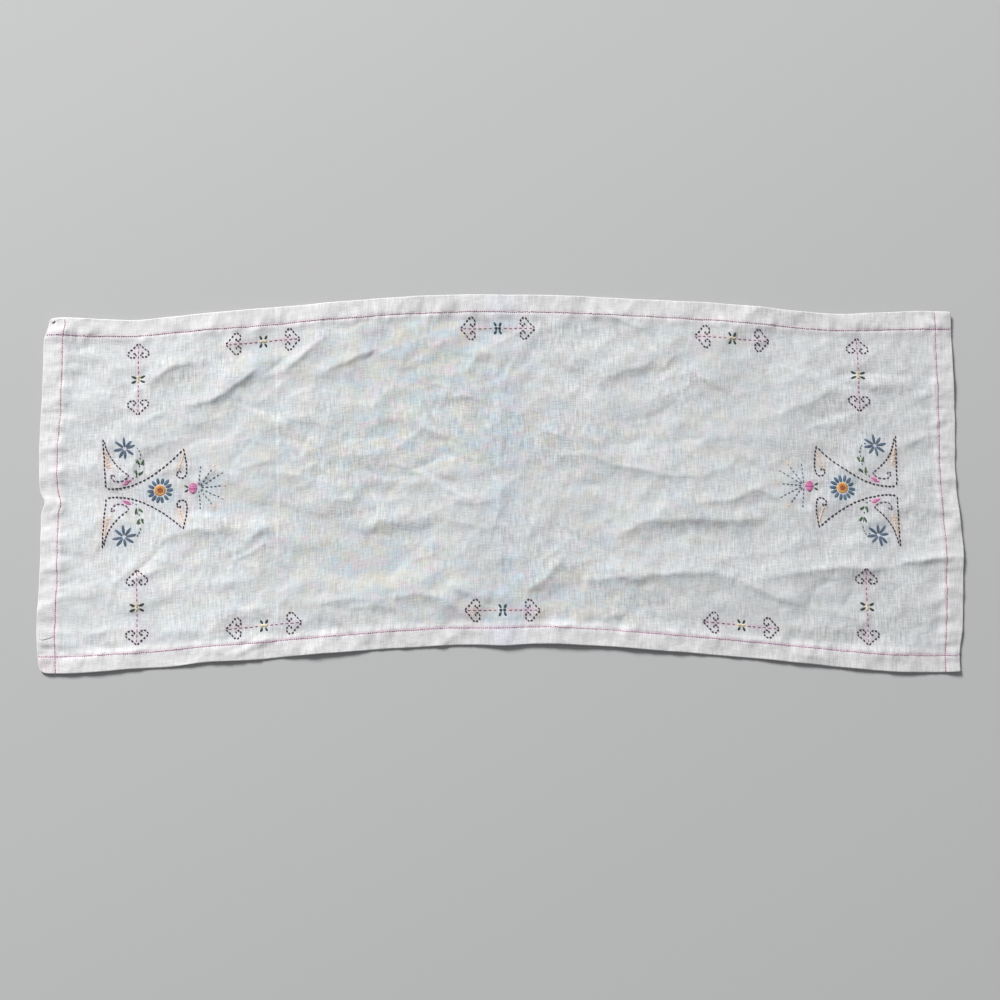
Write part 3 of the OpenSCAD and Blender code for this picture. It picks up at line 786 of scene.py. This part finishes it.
def middle_of(node):
    low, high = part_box(node)
    return np.array([(low.x + high.x) / 2, (low.y + high.y) / 2])


def motif_node(kind, motif):
    return f"{kind}_{motif}" if "centre" in motif else f"{kind}s_{motif}"


def begin(node, rings=9):
    """Empty threads for a CAD node, and its stitches."""
    return Threads(node, rings=rings), stitches_of(node)


def running_piece(materials, slot, node, radius, dye_of=None, longer=0, more=()):
    """A CAD node of running stitches as thread, joined up on the underside."""
    threads, stitches = begin(node)
    stitches = [(a, b) for a, b, *_ in stitches] + [*more]
    for a, b in stitches:
        dye = dye_of((a + b) / 2) if dye_of else threads.draw(0, 0.25)
        ahead = unit(b - a) * longer * threads.draw(0.3, 1.3)
        threads.stitch(a - ahead, b + ahead, radius, dye)
    threads.link(stitches, radius * 0.9)
    threads.build(materials, slot)


def scrolls(materials):
    for motif in MOTIFS:
        running_piece(materials, "outline_thread", motif_node("scroll", motif), OUTLINE_RADIUS)


def stems(materials):
    """The motifs' stems, which turn orange beside the crosses on the centre crease."""
    for motif in MOTIFS:
        def dye_of(middle):
            return 0.9 if "centre" in motif and abs(middle[0]) < 17 * MM else 0.1

        running_piece(materials, "stem_thread", motif_node("stem", motif), 0.5 * MM, dye_of)


def on_centre_crease(a, b):
    return abs((a + b)[0] / 2) < 20 * MM


def crosses(materials):
    """Four leaf stitches round each cross; the centre motifs are worked in teal, middles and all."""
    for side in SIDES:
        threads, stitches = begin(f"crosses_{side}")
        for a, b, *_ in stitches:
            teal = on_centre_crease(a, b)
            threads.satin(a, b, 2.1 * MM, 3, 0.9 if teal else 0.1, pointed=0.8)
        for a, b, *_ in stitches_of(f"cross_centres_{side}"):
            if on_centre_crease(a, b):
                threads.satin(a, b, 2.4 * MM, 3, 0.7)
        threads.build(materials, "cross_thread")


def cross_centres(materials):
    """A small star of straight stitches in the middle of each cross off the centre crease."""
    for side in SIDES:
        threads, stitches = begin(f"cross_centres_{side}")
        for a, b, *_ in stitches:
            if on_centre_crease(a, b):
                continue
            along = unit(b - a)
            for lean in (-0.55, 0, 0.55):
                half = (along + lean * turned(along)) * 2.6 * MM
                dye = 0.75 if lean == 0 else threads.draw(0, 0.25)
                threads.stitch((a + b) / 2 - half, (a + b) / 2 + half, 0.54 * MM, dye)
        threads.build(materials, "cross_centre_thread")


def wing_outlines(materials):
    """The wings' outlines, whose outer scrolls are worked in a purple-grey thread."""
    for side in SIDES:
        def dye_of(middle):
            outward, off_line = from_daisy(side, middle)
            scroll = 33 < outward < 57.5 and 10 < off_line < 24
            return 1.0 if scroll else 0.05

        running_piece(materials, "outline_thread", f"wing_outline_{side}", OUTLINE_RADIUS, dye_of,
                      0.25 * MM)


def wing_fillings(materials):
    """Zigzags across the wings' tips: each stitch of a row is joined to the next row's."""
    for side in SIDES:
        threads, stitches = begin(f"wing_filling_{side}")
        for a, b, *_ in stitches:
            threads.stitch(a, b, 0.4 * MM, threads.draw(0, 0.7))
            for c, d, *_ in stitches:
                if 1 * MM < norm(b - c) and norm((a + b - c - d) / 2) < 4 * MM:
                    threads.stitch(b, c, 0.33 * MM, threads.draw(0.3, 1))
        threads.build(materials, "filling_thread")


def daisies(materials):
    for side in SIDES:
        threads, stitches = begin(f"daisy_petals_{side}", rings=11)
        for a, b, *_ in stitches:
            swing = threads.random.normal(0, 0.05, 2)
            tip = a + (b - a) * threads.draw(0.94, 1.1) + swing * (b - a)[::-1]
            threads.satin(a, tip, 3 * MM, 5, threads.draw(0, 0.35), 0.95, pointed=0.5)
        threads.build(materials, "petal_thread")
        daisy_centre(side, materials)


def daisy_centre(side, materials):
    """A ring of satin stitches round a cluster of French knots."""
    threads = Threads(f"daisy_centre_{side}")
    centre = middle_of(threads.name)
    low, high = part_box(threads.name)
    radius = (high.x - low.x) / 2
    count = 40
    for i in range(count):
        ray = heading(2 * math.pi * (i + threads.draw(-0.2, 0.2)) / count)
        outer = radius * threads.draw(0.93, 1.03)
        threads.add([centre + ray * 0.38 * radius, centre + ray * outer], 0.42 * MM, threads.draw(0, 0.3))
    knots = [centre + 0.36 * radius * heading(2 * math.pi * i / 8) for i in range(8)]
    for knot in (*knots, centre):
        ahead = heading(threads.draw(0, math.pi))
        for step in (-1, 0, 1):
            middle = knot + step * 0.5 * MM * turned(ahead)
            threads.add([middle - 1.1 * MM * ahead, middle + 1.1 * MM * ahead], 0.5 * MM, 0.9)
    threads.build(materials, "daisy_centre_thread")


def side_flowers(materials):
    for side in SIDES:
        threads, stitches = begin(f"side_flowers_{side}", rings=11)
        middles = np.array([(a + b) / 2 for a, b, *_ in stitches])
        far = middles[:, 1] > middle_of(threads.name)[1]
        for (a, b, *_), is_far in zip(stitches, far):
            centre = middles[far == is_far].mean(0)
            if norm(a - centre) > norm(b - centre):
                a, b = b, a
            a = a + (centre - a) * 0.5
            reach, swing = threads.draw(0.9, 1.12), threads.random.normal(0, 0.08)
            tip = a + (b - a) * reach + turned(b - a) * swing
            threads.satin(a, tip, 2.6 * MM, 4, threads.draw(0, 0.6))
        threads.build(materials, "side_flower_thread")


def beside_daisy(side, outward, across):
    """A place so many mm from an end flower's daisy, outward towards the runner's end."""
    way = -1 if side == "left" else 1
    return middle_of(f"daisy_centre_{side}") + np.array([way * outward, across]) * MM


def from_daisy(side, place):
    """How many mm a place is outward from an end flower's daisy, and off its middle line."""
    way = -1 if side == "left" else 1
    away = (place - middle_of(f"daisy_centre_{side}")) / MM
    return way * away[0], abs(away[1])


def flower_stems(materials):
    """The side flowers' stems, from the flowers past the leaves to the tips of the wings' scrolls."""
    stem_ends = [((28.8, 49.2), (26.4, 49.4)), ((21.4, 36.6), (21.6, 34.2)),
                 ((22.2, 27.6), (23, 25.6)), ((25, 16.4), (27, 14.8)), ((28.8, 13.9), (30.6, 13.2))]
    for side in SIDES:
        more = [tuple(beside_daisy(side, x, way * y) for x, y in stitch)
                for way in (-1, 1) for stitch in stem_ends]
        running_piece(materials, "flower_stem_thread", f"flower_stems_{side}", 0.52 * MM, more=more)


def leaves(materials):
    """Each leaf is a satin stitch with a paler straight stitch beside it."""
    for side in SIDES:
        threads, stitches = begin(f"leaves_{side}")
        for a, b, width, _ in stitches:
            ahead = unit(b - a)
            if norm(b - a) < 3.6 * MM:
                threads.satin(a - ahead * 0.8 * MM, b + ahead * 1.3 * MM, 1.6 * MM, 3, 0.1)
                continue
            threads.satin(a, b, 1.05 * width, 3, threads.draw(0, 0.5), pointed=0.8)
            across = turned(ahead) * np.sign(threads.draw(-1, 1))
            threads.stitch(a + across * 1.5 * MM, a + ahead * 3.4 * MM + across * 1.9 * MM,
                           0.42 * MM, 0.9)
        threads.build(materials, "leaf_thread")


def bud_disc(side):
    """The middle and the radius of an end flower's bud, which is its node's only round stitch."""
    a, b = next((a, b) for a, b, _, corners in stitches_of(f"bud_{side}") if corners >= 12)
    return (a + b) / 2, norm(b - a) / 2


def buds(materials):
    """A round bud of satin stitches with a deeper streak, and strokes on the tips of the scrolls."""
    for side in SIDES:
        threads, stitches = begin(f"bud_{side}", rings=11)
        for a, b, _, corners in stitches:
            if corners < 12:
                ahead = unit(b - a) * 2 * MM
                threads.satin(a - ahead, b + ahead, 1.5 * MM, 2, threads.draw(0.2, 0.8))
        centre, radius = bud_disc(side)
        count = 12
        for i in range(count):
            offset = radius * (2 * (i + 0.5) / count - 1)
            half = 0.86 * math.sqrt(radius ** 2 - offset ** 2) * threads.draw(0.94, 1.06)
            dye = 0.9 if i in (0, 5) else threads.draw(0, 0.4)
            threads.add([centre + (-half, offset), centre + (half, offset)], 0.6 * MM, dye)
        threads.build(materials, "bud_thread")


def bud_rays(materials):
    """Rays of running stitch whose outer stitches turn paler."""
    for side in SIDES:
        bud = bud_disc(side)[0]

        def dye_of(middle):
            return 0.8 if norm(middle - bud) > 31 * MM else 0.08

        running_piece(materials, "ray_thread", f"bud_rays_{side}", 0.56 * MM, dye_of)


def hem_line(materials, name, start, end, dye, nodes):
    """Fine stitches along one hem, from edge to edge of the cloth."""
    threads = Threads(name, sides=8, rings=7)
    pitch, shown = 2.35 * MM, 1.85 * MM
    start, end = np.array(start), np.array(end)
    along = unit(end - start)
    across = turned(along)
    count = int(norm(end - start) / pitch)
    wander = 0.7 * MM * ripple(np.arange(count) * pitch, np.zeros(count), 70 * MM, len(name))
    for i in range(count):
        jitter = threads.random.normal(0, TIP_STRAY, 4) + wander[i] * np.array([0, 0, 1, 1])
        tips = (start + along * (i * pitch + reach + jitter[k]) + across * jitter[k + 2]
                for k, reach in enumerate((0, shown)))
        a, b = (np.array(lay(*tip)) for tip in tips)
        threads.stitch(a, b, 0.5 * MM, dye + threads.draw(-0.3, 0.3))
        if i:
            threads.stitch(last, a, 0.36 * MM, dye, front=False)
        last = b
    threads.build(materials, "hem_thread", nodes)


def hem_lines(materials):
    u, v = half_length - hem_line_inset, half_width - hem_line_inset
    edge_u, edge_v = half_length - 1 * MM, half_width - 1 * MM
    # Painted shade: the far line is painted in the thread's dark mauve as if in shadow, the end lines
    # partly, and the near line keeps its pink
    for row, way, dye in (("far", 1, 0.85), ("near", -1, 0.15)):
        hem_line(materials, f"hem_stitches_{row}", (-edge_u, way * v), (edge_u, way * v), dye,
                 [f"hem_thread_{row}_{side}" for side in SIDES])
    for side, way, dye in (("left", -1, 0.35), ("right", 1, 0.45)):
        hem_line(materials, f"hem_stitches_end_{side}", (way * u, -edge_v), (way * u, edge_v), dye,
                 [f"hem_thread_{side}_end"])


def loose_threads(materials):
    """A loose tail of thread on the left hem, and a tangle of it at the far left corner."""
    threads = Threads("loose_threads", sides=8, rings=15)
    tail = [(3, 37), (7, 36.6), (12, 38), (18, 40.5)]
    snarl = [[(4, 6.4), (7.4, 3.4)], [(4.6, 6.8), (8.2, 4.2)], [(3.8, 5), (8, 5.4)],
             [(7.4, 3.6), (12, 2.8), (18, 3)]]

    def lay_strand(points, row, radius):
        """A strand through points so many mm in from the left end and from the far or near edge."""
        path = [lay(-half_length + x * MM, row * (half_width - y * MM)) for x, y in points]
        threads.add(path, radius * MM, 0.8)

    lay_strand(tail, -1, 0.27)
    for strand in snarl:
        lay_strand(strand, 1, 0.4 if len(strand) == 2 else 0.16)
    threads.build(materials, "hem_thread", (), dyed="outline_thread")


# ---- Materials ----

class Shader:
    """A new material, and short ways to make and join its nodes."""

    def __init__(self, name):
        self.material = bpy.data.materials.new(name)
        self.material.use_nodes = True
        self.nodes = self.material.node_tree.nodes
        self.surface = self.nodes["Principled BSDF"]

    def put(self, node, inputs):
        """Sets a node's inputs to numbers or colours, or joins other nodes' outputs to them."""
        for key, value in inputs.items():
            if isinstance(value, bpy.types.NodeSocket):
                self.material.node_tree.links.new(value, node.inputs[key])
            else:
                node.inputs[key].default_value = (*value, 1) if isinstance(value, tuple) else value

    def node(self, kind, inputs, **settings):
        node = self.nodes.new("ShaderNode" + kind)
        for key, value in settings.items():
            setattr(node, key, value)
        self.put(node, inputs)
        return node

    def attribute(self, name, output="Vector"):
        return self.node("Attribute", {}, attribute_name=name).outputs[output]

    def parts(self, vector):
        return self.node("SeparateXYZ", {0: vector}).outputs

    def vector(self, x, y, z):
        return self.node("CombineXYZ", {0: x, 1: y, 2: z}).outputs[0]

    def math(self, operation, first, second=0.0):
        return self.node("Math", {0: first, 1: second}, operation=operation).outputs[0]

    def times(self, first, second):
        return self.math("MULTIPLY", first, second)

    def plus(self, first, second):
        return self.math("ADD", first, second)

    def mix(self, share, first, second, blend="MIX"):
        inputs = {0: share, 6: first, 7: second}
        return self.node("Mix", inputs, data_type="RGBA", blend_type=blend).outputs[2]

    def shaded(self, colour, shade):
        """A colour made lighter or darker, all of its parts alike."""
        return self.mix(1.0, colour, self.vector(shade, shade, shade), "MULTIPLY")

    def ramp(self, value, low, high, to_low=0.0, to_high=1.0):
        inputs = {0: value, 1: low, 2: high, 3: to_low, 4: to_high}
        return self.node("MapRange", inputs).outputs[0]

    def noise(self, x, y, z, detail=2.0):
        inputs = {"Vector": self.vector(x, y, z), "Scale": 1.0, "Detail": detail, "Roughness": 0.6}
        return self.node("TexNoise", inputs).outputs["Fac"]

    def finish(self, colour, relief, strength, depth, **look):
        """Joins the colour and a relief of a strength and depth to the surface, and sets its look."""
        bump = self.node("Bump", {"Strength": strength, "Distance": depth, "Height": relief})
        names = {"roughness": "Roughness", "gloss": "Specular IOR Level", "sheen": "Sheen Weight",
                 "sheen_roughness": "Sheen Roughness"}
        self.put(self.surface, {"Base Color": colour, "Normal": bump.outputs[0]})
        self.put(self.surface, {names[key]: value for key, value in look.items()})
        return self.material


def linen_material():
    """Off-white plain-weave linen with slubs, faint tints and a whiter hem, with painted light and shade
    that make it lighter at the left end and darker at the right.
    """
    linen = Shader("linen")
    u, v, hem = linen.parts(linen.attribute("weave"))
    plus, times, mix, ramp = linen.plus, linen.times, linen.mix, linen.ramp

    def noise(per_u, per_v, detail, shift):
        """Noise with so many bumps to the metre along and across the cloth."""
        return linen.noise(times(u, per_u), times(v, per_v), shift, detail)

    slubs = plus(times(noise(110.0, 640.0, 1.0, 3.0), 0.65), times(noise(680.0, 60.0, 1.0, 9.0), 1.25))
    fine = plus(noise(120.0, 1500.0, 1.0, 5.0), noise(1500.0, 90.0, 1.0, 7.0))
    grain = plus(slubs, times(fine, 0.45))

    plain, hem_white = (0.700, 0.712, 0.719), (0.775, 0.762, 0.765)
    blue, straw = (0.560, 0.648, 0.715), (0.690, 0.668, 0.596)
    green, pink = (0.605, 0.695, 0.645), (0.705, 0.622, 0.668)
    tints = mix(ramp(noise(40.0, 54.0, 2.0, 0.0), 0.38, 0.62), blue, straw)
    tints = mix(ramp(noise(38.0, 50.0, 2.0, 43.0), 0.50, 0.64, 0.0, 0.6), tints, green)
    tints = mix(ramp(noise(48.0, 66.0, 2.0, 21.0), 0.50, 0.66, 0.0, 0.85), tints, pink)
    tinted = times(ramp(linen.math("ABSOLUTE", u), 0.22, 0.40, 0.88, 0.3), ramp(u, 0.0, 0.2, 1.0, 0.5))
    patches = ramp(noise(6.0, 8.0, 1.0, 31.0), 0.35, 0.6, 0.35, 1.0)
    base = mix(times(tinted, patches), plain, tints)
    base = mix(hem, base, hem_white)
    # The cloth's tint holds its stains and dye bleeds, and a patch of painted light near the left end
    base = mix(1.0, base, linen.attribute("cloth_tint"), "MULTIPLY")
    strength = times(ramp(noise(9.0, 12.0, 1.0, 55.0), 0.35, 0.65, 0.38, 0.70),
                     ramp(hem, 0.0, 1.0, 1.0, 0.65))
    # Painted light and shade: the tone is raised at the left end and lowered at the right, standing in for
    # the lamp's light falling off along the runner
    painted_light_falloff = ramp(u, -0.5, 0.5, 1.065, 0.95)
    shade = plus(times(plus(grain, -1.40), strength), painted_light_falloff)
    relief = plus(grain, times(noise(150.0, 190.0, 2.0, 14.0), 1.5))
    return linen.finish(linen.shaded(base, shade), relief, 0.65, 0.28 * MM,
                        roughness=0.92, gloss=0.25, sheen=0.15, sheen_roughness=0.6)


def thread_material(name, first, second, sheen=0.2, roughness=0.62):
    """Stranded cotton, dyed between two colours, with strands a little lighter and darker."""
    cotton = Shader(name)
    reach, around, random = cotton.parts(cotton.attribute("strand"))
    twisted = cotton.plus(around, cotton.times(reach, 150.0))
    noise = cotton.noise(cotton.times(reach, 900.0), cotton.times(twisted, 9.0), cotton.times(random, 40.0))
    shade = cotton.plus(cotton.ramp(noise, 0.3, 0.7, -0.18, 0.18),
                        cotton.ramp(random, 0.0, 1.0, 0.82, 1.2))
    dyed = cotton.mix(cotton.attribute("dye", "Fac"), first, second)
    return cotton.finish(cotton.shaded(dyed, shade), noise, 0.5, 0.12 * MM,
                         roughness=roughness, sheen=sheen, sheen_roughness=0.5)


# The threads of each slot: their name, their first and second dye, and any sheen and roughness
COTTONS = {
    # The hem thread's second colour is a painted-shade copy of its pink, put most on the far hem line
    "hem_thread": ("hem_cotton_and_painted_shade", (0.62, 0.36, 0.50), (0.22, 0.11, 0.17)),
    "outline_thread": ("charcoal_cotton", (0.006, 0.006, 0.011), (0.16, 0.12, 0.18)),
    "stem_thread": ("rose_cotton", (0.30, 0.17, 0.25), (0.55, 0.27, 0.16)),
    "cross_thread": ("olive_cotton", (0.036, 0.050, 0.030), (0.022, 0.075, 0.078)),
    "cross_centre_thread": ("straw_cotton", (0.82, 0.74, 0.50), (0.50, 0.28, 0.13)),
    "filling_thread": ("peach_cotton", (0.82, 0.62, 0.48), (0.84, 0.72, 0.66)),
    "petal_thread": ("steel_blue_cotton", (0.11, 0.20, 0.31), (0.025, 0.055, 0.10), 0.35, 0.5),
    "daisy_centre_thread": ("orange_cotton", (0.84, 0.42, 0.12), (0.36, 0.08, 0.01), 0.3, 0.5),
    "side_flower_thread": ("slate_cotton", (0.085, 0.130, 0.205), (0.13, 0.18, 0.25), 0.3, 0.5),
    "flower_stem_thread": ("grey_green_cotton", (0.07, 0.10, 0.095), (0.09, 0.12, 0.09)),
    "leaf_thread": ("green_cotton", (0.035, 0.070, 0.040), (0.13, 0.24, 0.10)),
    "bud_thread": ("pink_cotton", (0.76, 0.28, 0.52), (0.46, 0.04, 0.22), 0.3, 0.5),
    "ray_thread": ("grey_blue_cotton", (0.085, 0.12, 0.20), (0.66, 0.47, 0.36)),
}


# ---- Floor, light and camera ----

def floor():
    half = 4.0
    piece = make_mesh("floor", [(-half, -half, 0), (half, -half, 0), (half, half, 0), (-half, half, 0)],
                      [(0, 1, 2, 3)])
    paper = Shader("floor_paper")
    paper.put(paper.surface, {"Base Color": (0.55, 0.55, 0.55), "Roughness": 0.9})
    piece.data.materials.append(paper.material)


def studio_light():
    """An even sky, and one large lamp beyond the far side and a little to the left."""
    world = bpy.data.worlds.new("studio")
    world.use_nodes = True
    background = world.node_tree.nodes["Background"]
    background.inputs["Color"].default_value = (0.95, 0.97, 1.0, 1)
    background.inputs["Strength"].default_value = 0.24
    bpy.context.scene.world = world
    azimuth, elevation, distance = math.radians(120), math.radians(30), 9.2
    back = Vector((*heading(azimuth) * math.cos(elevation), math.sin(elevation)))
    data = bpy.data.lights.new("key", "AREA")
    data.shape = "SQUARE"
    data.size = 2.6
    data.energy = 1160
    lamp = add_object("key", data)
    lamp.location = back * distance
    lamp.rotation_mode = "QUATERNION"
    lamp.rotation_quaternion = back.to_track_quat("Z", "Y")
    bpy.context.scene.view_settings.view_transform = "Standard"


def camera():
    tilt = math.radians(5)
    distance = 1.5
    aim = Vector((0, -19 * MM, 0))
    data = bpy.data.cameras.new("camera")
    data.lens = 49.5
    data.sensor_width = 36
    eye = add_object("camera", data)
    back = Vector((0, -math.sin(tilt), math.cos(tilt)))
    eye.location = aim + back * distance
    eye.rotation_euler = (tilt, 0, 0)
    bpy.context.scene.camera = eye


camera()
studio_light()
floor()
linen = linen_material()
cottons = {slot: thread_material(*dyes) for slot, dyes in COTTONS.items()}
cloth = linen_cloth(linen)
hem_pieces = hems(linen)
for work in (scrolls, stems, crosses, cross_centres, wing_outlines, wing_fillings, daisies,
             side_flowers, flower_stems, leaves, buds, bud_rays, hem_lines, loose_threads):
    work(cottons)
